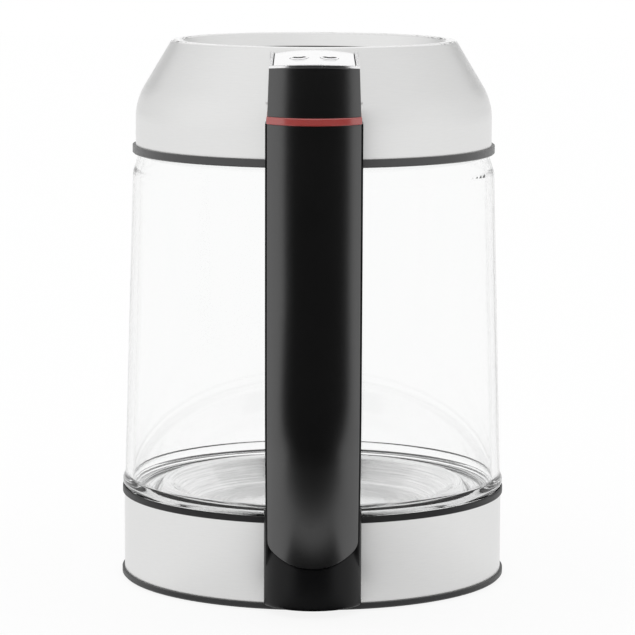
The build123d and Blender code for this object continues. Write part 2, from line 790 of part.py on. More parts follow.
# Lid seat: deck and bore under the lid, with the hinge ears and two rails for the filter
EAR_IN = LID_KNUCKLE_OUT + KNUCKLE_GAP
EAR_OUT = EAR_IN + EAR_T
SEGMENT_Y = PLUG_CHORD_Y + SEAM + FIT
RAIL_X = FILTER_HALF + FIT + RAIL_T / 2
FILTER_LOW = SPOUT_BOTTOM + FILTER_FRAME
with BuildPart() as lid_seat:
    with BuildSketch(Plane.XZ):
        with BuildLine():
            Polyline(
                (cone_radius(DECK_Z, SKIN_GAP), DECK_Z),
                (BORE_R, DECK_Z),
                (BORE_R, DECK_Z - BORE_DEPTH),
                (BORE_R + BORE_WALL, DECK_Z - BORE_DEPTH),
                (BORE_R + BORE_WALL, DECK_LOW),
                (cone_radius(DECK_LOW, SKIN_GAP), DECK_LOW),
                close=True,
            )
        make_face()
    revolve(axis=Axis.Z)
    with BuildSketch(Plane.XY.offset(DECK_Z)):
        Circle(WELL_R - SEAM)
        with Locations((0, FOOT_R - SEGMENT_Y)):
            Rectangle(2 * FOOT_R, 2 * FOOT_R, mode=Mode.SUBTRACT)
        with Locations((0, -WELL_R)):
            Rectangle(2 * EAR_OUT, WELL_R, mode=Mode.SUBTRACT)
    extrude(amount=SEGMENT_H)
    with BuildSketch(Plane.YZ):
        with Locations((HINGE_Y, HINGE_Z)):
            Circle(KNUCKLE_R)
        with BuildLine():
            Polyline(
                (HINGE_Y - KNUCKLE_R, HINGE_Z),
                (HINGE_Y - KNUCKLE_R, DECK_LOW),
                (HINGE_Y + EAR_FRONT, DECK_LOW),
                (HINGE_Y + EAR_FRONT, HINGE_Z),
                close=True,
            )
        make_face()
    extrude(amount=EAR_OUT, both=True)
    with BuildSketch(Plane.YZ):
        with Locations((HINGE_Y, HINGE_Z)):
            Rectangle(4 * KNUCKLE_R, 6 * KNUCKLE_R)
    extrude(amount=EAR_IN, both=True, mode=Mode.SUBTRACT)
    with BuildSketch(Plane.YZ):
        with Locations((HINGE_Y, HINGE_Z)):
            Circle(HINGE_PIN_R)
    extrude(amount=EAR_OUT, both=True, mode=Mode.SUBTRACT)
    with BuildSketch(Plane.XZ):
        with Locations((0, WINDOW_Z)):
            Rectangle(2 * WINDOW_HALF, WINDOW_H)
    extrude(amount=FOOT_R, mode=Mode.SUBTRACT)
    with BuildSketch(Plane.XY.offset(DECK_LOW + ROOT)):
        with Locations((-RAIL_X, FILTER_Y), (RAIL_X, FILTER_Y)):
            Rectangle(RAIL_T, RAIL_LENGTH)
    extrude(amount=FILTER_LOW - DECK_LOW)
save(lid_seat, "lid_seat")

# Spout filter: slotted screen that hangs between the two rails behind the spout
FILTER_H = DECK_LOW - FILTER_LOW
with BuildPart() as spout_filter:
    with BuildSketch(Plane.XZ.offset(-FILTER_Y)):
        with Locations((0, FILTER_LOW + FILTER_H / 2)):
            Rectangle(2 * FILTER_HALF, FILTER_H)
            with GridLocations(2 * FILTER_HALF / (FILTER_SLOTS + 1), 1, FILTER_SLOTS, 1):
                Rectangle(FILTER_SLOT_WIDTH, FILTER_H - 2 * FILTER_FRAME, mode=Mode.SUBTRACT)
    extrude(amount=-FILTER_T)
save(spout_filter, "spout_filter")

# Heating plate: pressed steel floor with a flange under the glass, a groove, a raised bead and a dish
with BuildPart() as heating_plate:
    with BuildSketch(Plane.XZ):
        with BuildLine():
            face_line = FilletPolyline(
                (FLANGE_R, GLASS_Z),
                (GROOVE_R + GROOVE_HALF, GLASS_Z),
                (GROOVE_R, GLASS_Z - GROOVE_DROP),
                (BEAD_R, GLASS_Z + BEAD_RISE),
                (BEAD_R - BEAD_BACK, GLASS_Z + BEAD_RISE - BEAD_FALL),
                (DISH_R, DISH_Z),
                (0, DISH_Z),
                radius=[PRESS_R, PRESS_R, PRESS_R, DISH_TOP_R, DISH_FOOT_R],
            )
            offset(face_line, amount=SHEET, side=Side.LEFT)
        make_face()
    revolve(axis=Axis.Z)
save(heating_plate, "heating_plate")

# Heat diffuser: aluminium disc brazed under the dish
with BuildPart() as heat_diffuser:
    with BuildSketch(Plane.XY.offset(DIFFUSER_Z)):
        Circle(DIFFUSER_R)
    extrude(amount=DIFFUSER_T)
    chamfer(heat_diffuser.edges().group_by(Axis.Z)[0], DIFFUSER_CHAMFER)
save(heat_diffuser, "heat_diffuser")

# Heating element: sheathed ring under the diffuser, open towards the handle
ELEMENT_Z = DIFFUSER_Z - ELEMENT_R
ELEMENT_START = ELEMENT_OPEN_ANGLE / 2 - 90
ELEMENT_TURN = 360 - ELEMENT_OPEN_ANGLE
with BuildPart() as heating_element:
    with BuildLine(Plane.XY.offset(ELEMENT_Z)) as element_path:
        CenterArc((0, 0), ELEMENT_RING_R, ELEMENT_START, ELEMENT_TURN)
    with BuildSketch(Plane(origin=element_path.line @ 0, x_dir=(0, 0, 1), z_dir=element_path.line % 0)):
        Circle(ELEMENT_R)
    sweep(path=element_path.line)
save(heating_element, "heating_element")

# Heater terminals: cold pins just past both ends of the element
with BuildPart() as heater_terminals:
    with BuildSketch(Plane.XY.offset(ELEMENT_Z)):
        for turn in (ELEMENT_START - TERMINAL_TURN, ELEMENT_START + ELEMENT_TURN + TERMINAL_TURN):
            with Locations((ELEMENT_RING_R * cos(radians(turn)), ELEMENT_RING_R * sin(radians(turn)))):
                Circle(TERMINAL_R)
    extrude(amount=-TERMINAL_DROP)
save(heater_terminals, "heater_terminals")

# Control body: connector and cut-out block above the power socket
CONTACT_Z = SOCKET_H + CONTACT_DROP
CONTROL_TOP = DIFFUSER_Z - BIMETAL_T
with BuildPart() as control_body:
    with BuildSketch(Plane.XY.offset(SOCKET_H)):
        Circle(CONTROL_R)
    extrude(amount=CONTROL_TOP - SOCKET_H)
    with BuildSketch(Plane.XY.offset(SOCKET_H)):
        for outer in (OUTER_RING_R, INNER_RING_R):
            Circle(outer)
            Circle(outer - RING_GROOVE, mode=Mode.SUBTRACT)
        Circle(CENTRE_R)
    extrude(amount=CONTACT_DROP + CONTACT_H, mode=Mode.SUBTRACT)
    with BuildSketch(Plane.XY.offset(CONTROL_TOP)):
        Rectangle(CONTROL_SLOT, 2 * SOCKET_R)
    extrude(amount=-CONTROL_SLOT_DEPTH, mode=Mode.SUBTRACT)
save(control_body, "control_body")

# Contact rings: two brass sleeves in the control body's grooves
with BuildPart() as contact_rings:
    with BuildSketch(Plane.XY.offset(CONTACT_Z)):
        for outer in (OUTER_RING_R, INNER_RING_R):
            Circle(outer)
            Circle(outer - RING_WALL, mode=Mode.SUBTRACT)
    extrude(amount=CONTACT_H)
save(contact_rings, "contact_rings")

# Centre contact: brass tube in the middle of the control body
with BuildPart() as centre_contact:
    with BuildSketch(Plane.XY.offset(CONTACT_Z)):
        Circle(CENTRE_R)
        Circle(CENTRE_BORE, mode=Mode.SUBTRACT)
    extrude(amount=CONTACT_H)
save(centre_contact, "centre_contact")

# Bimetal discs: two snap discs between the control body and the diffuser
with BuildPart() as bimetal_discs:
    with BuildSketch(Plane.XY.offset(CONTROL_TOP)):
        with Locations((-BIMETAL_X, 0), (BIMETAL_X, 0)):
            Circle(BIMETAL_R)
            Rectangle(BIMETAL_SLIT, BIMETAL_R, mode=Mode.SUBTRACT)
    extrude(amount=BIMETAL_T)
save(bimetal_discs, "bimetal_discs")


def chorded_disc(radius, chord):
    """Round face cut straight at y = -chord, for use inside a sketch."""
    with BuildSketch() as face:
        Circle(radius)
        with Locations((0, -chord - radius)):
            Rectangle(4 * radius, 2 * radius, mode=Mode.SUBTRACT)
    return face.sketch


# Lid top: thin steel cover with a shallow field, cut straight towards the hinge
LID_RAMP_R = LID_R - LID_BORDER
LID_FIELD_R = LID_RAMP_R - LID_RAMP
with BuildPart() as lid_top:
    with BuildSketch(Plane.XZ):
        with BuildLine():
            Polyline(
                (0, LID_TOP_Z - LID_RISE),
                (LID_FIELD_R, LID_TOP_Z - LID_RISE),
                (LID_RAMP_R, LID_TOP_Z),
                (LID_R - LID_EDGE_CHAMFER, LID_TOP_Z),
                (LID_R, LID_TOP_Z - LID_EDGE_CHAMFER),
                (LID_R, LID_TOP_Z - LID_EDGE),
                (LID_R - LID_SKIN, LID_TOP_Z - LID_EDGE),
                (LID_R - LID_SKIN, LID_TOP_Z - LID_SKIN),
                (LID_RAMP_R, LID_TOP_Z - LID_SKIN),
                (LID_FIELD_R, LID_TOP_Z - LID_SKIN - LID_RISE),
                (0, LID_TOP_Z - LID_SKIN - LID_RISE),
                close=True,
            )
        make_face()
    revolve(axis=Axis.Z)
    with BuildSketch(Plane.XY.offset(LID_TOP_Z)):
        with Locations((0, -LID_CHORD_Y - WELL_R)):
            Rectangle(2 * WELL_R, 2 * WELL_R)
    extrude(amount=2 * LID_EDGE, both=True, mode=Mode.SUBTRACT)
save(lid_top, "lid_top")

# Lid body: hollow plastic plug with two ribs, a keeper for the latch and two hinge knuckles
LID_BODY_TOP = LID_TOP_Z - LID_SKIN - LID_RISE
LID_FLANGE_Z = DECK_Z + SEAM
LID_PLUG_Z = LID_FLANGE_Z - LID_PLUG_H
with BuildPart() as lid_body:
    with BuildSketch(Plane.XY.offset(LID_PLUG_Z)):
        add(chorded_disc(LID_PLUG_R, PLUG_CHORD_Y))
    extrude(amount=LID_BODY_TOP - LID_PLUG_Z)
    with BuildSketch(Plane.XY.offset(LID_FLANGE_Z)):
        add(chorded_disc(LID_R - LID_SKIN - FIT, LID_CHORD_Y))
    extrude(amount=LID_BODY_TOP - LID_FLANGE_Z)
    with BuildSketch(Plane.XY.offset(LID_PLUG_Z + LID_WALL)):
        add(chorded_disc(LID_PLUG_R - LID_WALL, PLUG_CHORD_Y - LID_WALL))
    extrude(amount=LID_BODY_TOP - LID_PLUG_Z, mode=Mode.SUBTRACT)
    with BuildSketch(Plane.XY.offset(LID_PLUG_Z + LID_WALL)):
        Rectangle(2 * LID_PLUG_R - 2 * LID_WALL, LID_WALL)
        with Locations((0, LID_WALL - PLUG_CHORD_Y / 2)):
            Rectangle(LID_WALL, PLUG_CHORD_Y)
    extrude(amount=LID_BODY_TOP - LID_PLUG_Z - LID_WALL)
    with BuildSketch(Plane.YZ):
        with Locations((KEEPER_T / 2 - PLUG_CHORD_Y, LID_PLUG_Z - KEEPER_DROP / 2)):
            Rectangle(KEEPER_T, KEEPER_DROP)
    extrude(amount=KEEPER_HALF, both=True)
    with BuildSketch(Plane.XZ.offset(PLUG_CHORD_Y - LID_WALL)):
        with Locations((0, WINDOW_Z)):
            Rectangle(2 * WINDOW_HALF, WINDOW_H)
    extrude(amount=LID_WALL, mode=Mode.SUBTRACT)
    with BuildSketch(Plane.YZ):
        with Locations((HINGE_Y, HINGE_Z)):
            Circle(KNUCKLE_R)
        with BuildLine():
            Polyline(
                (HINGE_Y, HINGE_Z - KNUCKLE_R),
                (HINGE_Y, HINGE_Z),
                (HINGE_Y + KNUCKLE_R, HINGE_Z),
                (HINGE_Y + KNUCKLE_R, LID_BODY_TOP),
                (KNUCKLE_ROOT - LID_CHORD_Y, LID_BODY_TOP),
                (KNUCKLE_ROOT - LID_CHORD_Y, HINGE_Z - 2 * KNUCKLE_R),
                (HINGE_Y + KNUCKLE_R, HINGE_Z - 2 * KNUCKLE_R),
                close=True,
            )
        make_face()
    extrude(amount=LID_KNUCKLE_OUT, both=True)
    with BuildSketch(Plane.YZ):
        with Locations((HINGE_Y - KNUCKLE_R / 2, HINGE_Z - KNUCKLE_R / 2)):
            Rectangle(3 * KNUCKLE_R + 2 * SEAM, 4 * KNUCKLE_R)
    extrude(amount=LID_KNUCKLE_IN, both=True, mode=Mode.SUBTRACT)
    with BuildSketch(Plane.YZ):
        with Locations((HINGE_Y, HINGE_Z)):
            Circle(HINGE_PIN_R + RUNNING)
    extrude(amount=LID_KNUCKLE_OUT, both=True, mode=Mode.SUBTRACT)
save(lid_body, "lid_body")

# Lid gasket: soft ring round the plug, just under the flange
with BuildPart() as lid_gasket:
    with BuildSketch(Plane.XY.offset(LID_FLANGE_Z)):
        add(chorded_disc(LID_PLUG_R + LID_GASKET_PROUD, PLUG_CHORD_Y))
        add(chorded_disc(LID_PLUG_R, PLUG_CHORD_Y + PLUG_STEP), mode=Mode.SUBTRACT)
    extrude(amount=-LID_GASKET_H)
save(lid_gasket, "lid_gasket")

# Lid hinge pin: held in the seat's ears
with BuildPart() as lid_hinge_pin:
    with BuildSketch(Plane.YZ):
        with Locations((HINGE_Y, HINGE_Z)):
            Circle(HINGE_PIN_R)
    extrude(amount=EAR_OUT, both=True)
save(lid_hinge_pin, "lid_hinge_pin")

# Lid spring: coil of six-sided wire round the hinge pin, between the lid's knuckles
COIL_LENGTH = 2 * (LID_KNUCKLE_IN - LID_SPRING_END_GAP) - LID_SPRING_WIRE
COIL_STEPS = 24
with BuildPart() as lid_spring:
    with BuildLine() as lid_coil:
        Helix(
            pitch=COIL_LENGTH / LID_SPRING_TURNS,
            height=COIL_LENGTH,
            radius=LID_SPRING_R,
            center=(-COIL_LENGTH / 2, HINGE_Y, HINGE_Z),
            direction=(1, 0, 0),
        )
    with BuildSketch(Plane(origin=lid_coil.line @ 0, z_dir=lid_coil.line % 0)):
        RegularPolygon(LID_SPRING_WIRE / 2, 6)
    sweep(path=lid_coil.line)
save(lid_spring, "lid_spring")

coil_count = LID_SPRING_TURNS * COIL_STEPS
coil_points = [lid_coil.line @ (step / coil_count) for step in range(coil_count + 1)]
coil_gap = min(
    (coil_points[far] - coil_points[near]).length
    for near in range(coil_count + 1)
    for far in range(near + COIL_STEPS // 2, coil_count + 1)
)
print(f"lid_spring least gap to itself: {coil_gap - LID_SPRING_WIRE:.2f} mm")


def cover_outline(grow):
    """Front view of the handle cover: straight sides and a foot rounded as a wide U."""
    half = COVER_HALF + grow
    low = COVER_FOOT_Z - grow
    side = low + COVER_FOOT_RISE
    top = RING_Z + BACK_RUN
    with BuildSketch(Plane.XZ) as outline:
        with BuildLine():
            ThreePointArc((-half, side), (0, low), (half, side))
            Polyline((half, side), (half, top), (-half, top), (-half, side))
        make_face()
        fillet(outline.vertices().group_by(Axis.Z)[0], COVER_FOOT_FILLET)
    return outline.sketch


def cover_form(grow, depth):
    """Solid of the handle cover with no hollow, moved outwards by grow and running depth inwards."""
    half = COVER_HALF + grow
    fall = sag(half, CROWN_R + grow) - grow
    with BuildPart() as form:
        with BuildSketch(GRIP_PLANE):
            with BuildLine():
                ThreePointArc((-half, -fall), (0, grow), (half, -fall))
                Polyline((half, -fall), (half, -depth), (-half, -depth), (-half, -fall))
            make_face()
        sweep(path=GRIP_PATH)
        extrude(cover_outline(grow), amount=2 * HANDLE_REACH, mode=Mode.INTERSECT)
    return form.part


# Handle block: the shoe that joins the grip to the base band
BLOCK_EDGE = sag(BLOCK_HALF, BLOCK_CROWN_R) - BLOCK_REACH
BLOCK_BACK = BLOCK_SINK - BAND_R
with BuildPart() as handle_block:
    with BuildSketch(Plane.XY.offset(BLOCK_Z)) as footprint:
        with BuildLine():
            ThreePointArc((-BLOCK_HALF, BLOCK_EDGE), (0, -BLOCK_REACH), (BLOCK_HALF, BLOCK_EDGE))
            Polyline(
                (BLOCK_HALF, BLOCK_EDGE),
                (BLOCK_HALF, BLOCK_BACK),
                (-BLOCK_HALF, BLOCK_BACK),
                (-BLOCK_HALF, BLOCK_EDGE),
            )
        make_face()
        fillet(footprint.vertices().group_by(Axis.Y)[0], BLOCK_CORNER_R)
    extrude(amount=BLOCK_TOP - BLOCK_Z)
    fillet(handle_block.edges().group_by(Axis.Z)[0], BLOCK_FILLET)

# Handle bridge: the arm from the grip to the collar, with a rounded inner corner for the fingers
BRIDGE_LOW = BRIDGE_Z - BRIDGE_FILLET
BRIDGE_TOP = ring_height(BRIDGE_BACK) + COVER_DEPTH
BRIDGE_FRONT = COVER_DEPTH - HANDLE_REACH
BRIDGE_HALF = FRAME_HALF - BRIDGE_STEP
BRIDGE_TURN = BRIDGE_FILLET * (1 - cos(radians(45)))
GRIP_INNER = bow_point(asin((HANDLE_BOW_Z - BRIDGE_LOW) / HANDLE_BOW_R))[0] + GRIP_T - BRIDGE_SINK
with BuildPart() as handle_bridge:
    with BuildSketch(Plane.YZ):
        with BuildLine():
            Polyline(
                (BRIDGE_BACK, BRIDGE_TOP),
                (BRIDGE_BACK, BRIDGE_Z),
                (GRIP_INNER + BRIDGE_FILLET, BRIDGE_Z),
            )
            ThreePointArc(
                (GRIP_INNER + BRIDGE_FILLET, BRIDGE_Z),
                (GRIP_INNER + BRIDGE_TURN, BRIDGE_Z - BRIDGE_TURN),
                (GRIP_INNER, BRIDGE_LOW),
            )
            Polyline(
                (GRIP_INNER, BRIDGE_LOW),
                (BRIDGE_FRONT, BRIDGE_LOW),
                (BRIDGE_FRONT, BRIDGE_TOP),
                (BRIDGE_BACK, BRIDGE_TOP),
            )
        make_face()
    extrude(amount=BRIDGE_HALF, both=True)
    under = handle_bridge.edges().filter_by(
        lambda edge: abs(edge.center().X) > BRIDGE_HALF - FIT
        and BRIDGE_LOW + FIT < edge.center().Z < BRIDGE_Z + FIT
        and edge.center().Y > GRIP_INNER
    )
    fillet(under, GRIP_FILLET)

# Handle frame: hollow spine behind the grip, bridge, block, latch guide and seats for the springs
SPINE_T = GRIP_T - COVER_DEPTH
GUIDE_IN = LATCH_HALF + SEAM
UPPER_SCREW_Y = sqrt((SKIRT_R - LINER_WALL) ** 2 - HANDLE_SCREW_X**2) - SCREW_SEAT
LOWER_SCREW_Y = sqrt((CHASSIS_R - CHASSIS_T) ** 2 - HANDLE_SCREW_X**2) - SCREW_SEAT
with BuildPart() as handle_frame:
    with BuildSketch(GRIP_PLANE) as spine:
        with Locations((0, -(COVER_DEPTH + GRIP_T) / 2)):
            Rectangle(2 * FRAME_HALF, SPINE_T)
        back = GRIP_PLANE.from_local_coords((0, -2 * GRIP_T))
        fillet(spine.vertices().sort_by_distance(back)[:2], GRIP_FILLET)
        with Locations((0, -(COVER_DEPTH + GRIP_T - FRAME_WALL) / 2)):
            Rectangle(2 * (FRAME_HALF - FRAME_WALL), SPINE_T - FRAME_WALL, mode=Mode.SUBTRACT)
    sweep(path=GRIP_PATH)
    add(handle_bridge.part)
    add(cover_form(0, COVER_DEPTH), mode=Mode.SUBTRACT)
    split(bisect_by=RING_PLANE, keep=Keep.BOTTOM)
    add(handle_block.part)
    add(cover_form(SEAM, COVER_DEPTH), mode=Mode.SUBTRACT)
    with BuildSketch(Plane.YZ):
        with BuildLine():
            Polyline(
                (GUIDE_BACK, ring_height(GUIDE_BACK) - GUIDE_ROOT),
                (GUIDE_BACK, LATCH_TOP),
                (GUIDE_FRONT, LATCH_TOP),
                (GUIDE_FRONT, ring_height(GUIDE_FRONT) - GUIDE_ROOT),
                close=True,
            )
        make_face()
    extrude(amount=GUIDE_IN + GUIDE_T, both=True)
    with BuildSketch(Plane.YZ):
        with Locations(((GUIDE_BACK + GUIDE_FRONT) / 2, LATCH_TOP)):
            Rectangle(GUIDE_LENGTH, 2 * (LATCH_T + SEAM))
    extrude(amount=GUIDE_IN, both=True, mode=Mode.SUBTRACT)
    with BuildSketch(Plane.YZ):
        with BuildLine():
            Polyline(
                (LATCH_STOP_Y, ring_height(LATCH_STOP_Y) - GUIDE_ROOT),
                (LATCH_STOP_Y, LATCH_TOP),
                (LATCH_STOP_Y - GUIDE_T, LATCH_TOP),
                (LATCH_STOP_Y - GUIDE_T, ring_height(LATCH_STOP_Y) - GUIDE_ROOT),
                close=True,
            )
        make_face()
    extrude(amount=LATCH_HALF, both=True)
    with BuildSketch(Plane.XY.offset(ring_height(BUTTON_SPRING_Y) - GUIDE_ROOT)):
        with Locations((0, BUTTON_SPRING_Y)):
            Circle(SPRING_SEAT_R)
    extrude(amount=SPRING_SEAT_H + GUIDE_ROOT)
    with BuildSketch(Plane.XZ):
        with Locations((-HANDLE_SCREW_X, UPPER_SCREW_Z), (HANDLE_SCREW_X, UPPER_SCREW_Z)):
            Circle(SCREW_R)
    extrude(amount=UPPER_SCREW_Y + UPPER_SCREW_LENGTH, mode=Mode.SUBTRACT)
    with BuildSketch(Plane.XZ):
        with Locations((-HANDLE_SCREW_X, LOWER_SCREW_Z), (HANDLE_SCREW_X, LOWER_SCREW_Z)):
            Circle(SCREW_R)
    extrude(amount=LOWER_SCREW_Y + LOWER_SCREW_LENGTH, mode=Mode.SUBTRACT)
    add(body_form(FIT), mode=Mode.SUBTRACT)
    add(collar_form(FIT), mode=Mode.SUBTRACT)
save(handle_frame, "handle_frame")

# Handle cover: crowned front shell, the most visible surface of the grip
COVER_FALL = sag(COVER_HALF, CROWN_R)
COVER_INSIDE = COVER_HALF - COVER_WALL
COVER_INNER_FALL = COVER_WALL + sag(COVER_INSIDE, CROWN_R - COVER_WALL)
with BuildPart() as handle_cover:
    with BuildSketch(GRIP_PLANE):
        with BuildLine():
            ThreePointArc((-COVER_HALF, -COVER_FALL), (0, 0), (COVER_HALF, -COVER_FALL))
            Polyline(
                (COVER_HALF, -COVER_FALL),
                (COVER_HALF, -COVER_DEPTH),
                (COVER_INSIDE, -COVER_DEPTH),
                (COVER_INSIDE, -COVER_INNER_FALL),
            )
            ThreePointArc(
                (COVER_INSIDE, -COVER_INNER_FALL),
                (0, -COVER_WALL),
                (-COVER_INSIDE, -COVER_INNER_FALL),
            )
            Polyline(
                (-COVER_INSIDE, -COVER_INNER_FALL),
                (-COVER_INSIDE, -COVER_DEPTH),
                (-COVER_HALF, -COVER_DEPTH),
                (-COVER_HALF, -COVER_FALL),
            )
        make_face()
    sweep(path=GRIP_PATH)
    extrude(cover_outline(0), amount=2 * HANDLE_REACH, mode=Mode.INTERSECT)
    split(bisect_by=RING_PLANE, keep=Keep.BOTTOM)
save(handle_cover, "handle_cover")

# Accent ring: translucent band between the grip and the head
with BuildPart() as accent_ring:
    with BuildSketch(RING_PLANE):
        with BuildLine():
            add(d_outline(HEAD_FOOT_HALF + RING_PROUD, -RING_PROUD, CROWN_R + RING_PROUD))
        make_face()
    extrude(amount=RING_T)
    ends = accent_ring.faces().sort_by(Axis(RING_PLANE.origin, RING_PLANE.z_dir))
    chamfer(ends[0].edges() + ends[-1].edges(), RING_CHAMFER)
    with BuildSketch(RING_PLANE):
        with BuildLine():
            add(d_outline(HEAD_FOOT_HALF - HEAD_WALL, HEAD_WALL, CROWN_R - HEAD_WALL))
        make_face()
    extrude(amount=RING_T, mode=Mode.SUBTRACT)
    add(collar_form(FIT), mode=Mode.SUBTRACT)
save(accent_ring, "accent_ring")


def head_form(low_inset, high_inset):
    """Tapered solid of the handle head, moved inwards by an inset at each end."""
    with BuildPart() as form:
        with BuildSketch(RING_PLANE.offset(RING_T)):
            with BuildLine():
                add(d_outline(HEAD_FOOT_HALF - low_inset, low_inset, CROWN_R - low_inset))
            make_face()
        with BuildSketch(HEAD_PLANE):
            with BuildLine():
                add(d_outline(HEAD_TOP_HALF - high_inset, high_inset, CROWN_R - high_inset))
            make_face()
        loft(ruled=True)
    return form.part


def crown_form(drop):
    """Solid under the crown that the button and its bezel share, lowered by drop."""
    with BuildPart() as form:
        with BuildSketch(Plane(origin=HEAD_PLANE.origin, x_dir=(1, 0, 0), z_dir=-HEAD_PLANE.y_dir)):
            with Locations((0, -BUTTON_CROWN_R)):
                Circle(BUTTON_CROWN_R - drop)
        extrude(amount=2 * BACK_RUN, both=True)
    return form.part


# Handle head: tapered black shell round the latch works, with blind holes for the button's pin
PIVOT_HALF = HEAD_TOP_HALF - PIVOT_COVER
with BuildPart() as handle_head:
    add(head_form(0, 0))
    add(crown_form(BEZEL_T), mode=Mode.INTERSECT)
    add(head_form(HEAD_WALL, BEZEL_SIDE), mode=Mode.SUBTRACT)
    add(collar_form(FIT), mode=Mode.SUBTRACT)
    with BuildSketch(Plane.YZ):
        with Locations((PIVOT_Y, PIVOT_Z)):
            Circle(PIVOT_R)
    extrude(amount=PIVOT_HALF, both=True, mode=Mode.SUBTRACT)
save(handle_head, "handle_head")

# Head trim: a steel strip on the collar along each side of the head
with BuildPart() as head_trim:
    add(head_form(-TRIM_WIDTH, -TRIM_WIDTH))
    add(collar_form(TRIM_PROUD), mode=Mode.INTERSECT)
    add(collar_form(FIT), mode=Mode.SUBTRACT)
    add(head_form(-SEAM, -SEAM), mode=Mode.SUBTRACT)
save(head_trim, "head_trim")

# Button bezel: thin bright frame that follows the crown on the head's top edge
OPENING_HALF = HEAD_TOP_HALF - BEZEL_SIDE
with BuildPart() as button_bezel:
    add(head_form(0, 0))
    add(crown_form(0), mode=Mode.INTERSECT)
    add(crown_form(BEZEL_T), mode=Mode.SUBTRACT)
    with BuildSketch(HEAD_PLANE):
        with BuildLine():
            add(d_outline(OPENING_HALF, BEZEL_FRONT, CROWN_R))
        make_face()
    extrude(amount=-BUTTON_T, mode=Mode.SUBTRACT)
    add(collar_form(SEAM), mode=Mode.SUBTRACT)
save(button_bezel, "button_bezel")

# Lid button: bright thumb lever with two dimples, pivot lugs and a cam for the latch
LUG_TOP = head_height(PIVOT_Y) - BUTTON_T + ROOT
CAM_TOP = head_height(CAM_Y) - BUTTON_T + ROOT
CAM_LOW = LATCH_TOP + CAM_STAND
CAM_FOOT_Y = CAM_Y + CAM_GAP * sqrt(2) - CAM_STAND
DIMPLE_ROUND = (DIMPLE_WIDTH**2 / 4 + DIMPLE_DEPTH**2) / (2 * DIMPLE_DEPTH)
DIMPLE_ARC = (DIMPLE_LENGTH**2 / 4 + DIMPLE_DEPTH**2) / (2 * DIMPLE_DEPTH)
DIMPLE_RIDGE = head_height(DIMPLE_Y) - sag(DIMPLE_X, BUTTON_CROWN_R)
DIMPLE_LOW = DIMPLE_RIDGE - DIMPLE_DEPTH
DIMPLE_END = DIMPLE_LOW + sag(DIMPLE_LENGTH, DIMPLE_ARC)
DIMPLE_AXIS_Z = DIMPLE_LOW + DIMPLE_ROUND
with BuildPart() as lid_button:
    with BuildSketch(HEAD_PLANE.offset(-BUTTON_T)):
        with BuildLine():
            add(d_outline(OPENING_HALF - BUTTON_GAP, BEZEL_FRONT + BUTTON_GAP, CROWN_R))
        make_face()
    extrude(amount=BUTTON_T)
    add(crown_form(0), mode=Mode.INTERSECT)
    add(collar_form(2 * SEAM), mode=Mode.SUBTRACT)
    for side in (-1, 1):
        with BuildSketch(Plane.YZ.offset(side * DIMPLE_X)):
            with BuildLine():
                ThreePointArc(
                    (DIMPLE_Y - DIMPLE_LENGTH, DIMPLE_END),
                    (DIMPLE_Y, DIMPLE_LOW),
                    (DIMPLE_Y + DIMPLE_LENGTH, DIMPLE_END),
                )
                Polyline(
                    (DIMPLE_Y + DIMPLE_LENGTH, DIMPLE_END),
                    (DIMPLE_Y + DIMPLE_LENGTH, DIMPLE_AXIS_Z),
                    (DIMPLE_Y - DIMPLE_LENGTH, DIMPLE_AXIS_Z),
                    (DIMPLE_Y - DIMPLE_LENGTH, DIMPLE_END),
                )
            make_face()
        revolve(axis=Axis((side * DIMPLE_X, 0, DIMPLE_AXIS_Z), (0, 1, 0)), mode=Mode.SUBTRACT)
        with BuildSketch(Plane.YZ.offset(side * LUG_IN)):
            with Locations((PIVOT_Y, PIVOT_Z)):
                Circle(LUG_R)
            with Locations((PIVOT_Y, (PIVOT_Z + LUG_TOP) / 2)):
                Rectangle(2 * LUG_R, LUG_TOP - PIVOT_Z)
        extrude(amount=side * LUG_T)
    with BuildSketch(Plane.YZ):
        with BuildLine():
            Polyline(
                (CAM_FOOT_Y, CAM_LOW),
                (CAM_FOOT_Y + CAM_WIDTH, CAM_LOW),
                (CAM_FOOT_Y + CAM_WIDTH, CAM_TOP),
                (CAM_FOOT_Y - CAM_TOP + CAM_LOW, CAM_TOP),
                close=True,
            )
        make_face()
    extrude(amount=LATCH_HALF - CAM_INSET, both=True)
    with BuildSketch(Plane.YZ):
        with Locations((PIVOT_Y, PIVOT_Z)):
            Circle(PIVOT_R + RUNNING)
    extrude(amount=FRAME_HALF, both=True, mode=Mode.SUBTRACT)
save(lid_button, "lid_button")

# Button pivot pin: runs across the head through the button's lugs
with BuildPart() as button_pivot_pin:
    with BuildSketch(Plane.YZ):
        with Locations((PIVOT_Y, PIVOT_Z)):
            Circle(PIVOT_R)
    extrude(amount=PIVOT_HALF, both=True)
save(button_pivot_pin, "button_pivot_pin")

# Latch slider: bar with a nose at the lid, a wedge under the cam and a seat for its spring
LATCH_NOSE_Y = -PLUG_CHORD_Y - LATCH_NOSE_GAP
with BuildPart() as latch_slider:
    with BuildSketch(Plane.YZ):
        with BuildLine():
            Polyline(
                (LATCH_NOSE_Y, LATCH_Z),
                (LATCH_NOSE_Y, LATCH_Z + LATCH_NOSE_H),
                (LATCH_NOSE_Y - LATCH_NOSE_RUN, LATCH_TOP),
                (CAM_Y, LATCH_TOP),
                (CAM_Y - CAM_RISE, LATCH_TOP + CAM_RISE),
                (-LATCH_REACH, LATCH_TOP + CAM_RISE),
                (-LATCH_REACH, LATCH_Z),
                close=True,
            )
        make_face()
    extrude(amount=LATCH_HALF, both=True)
save(latch_slider, "latch_slider")

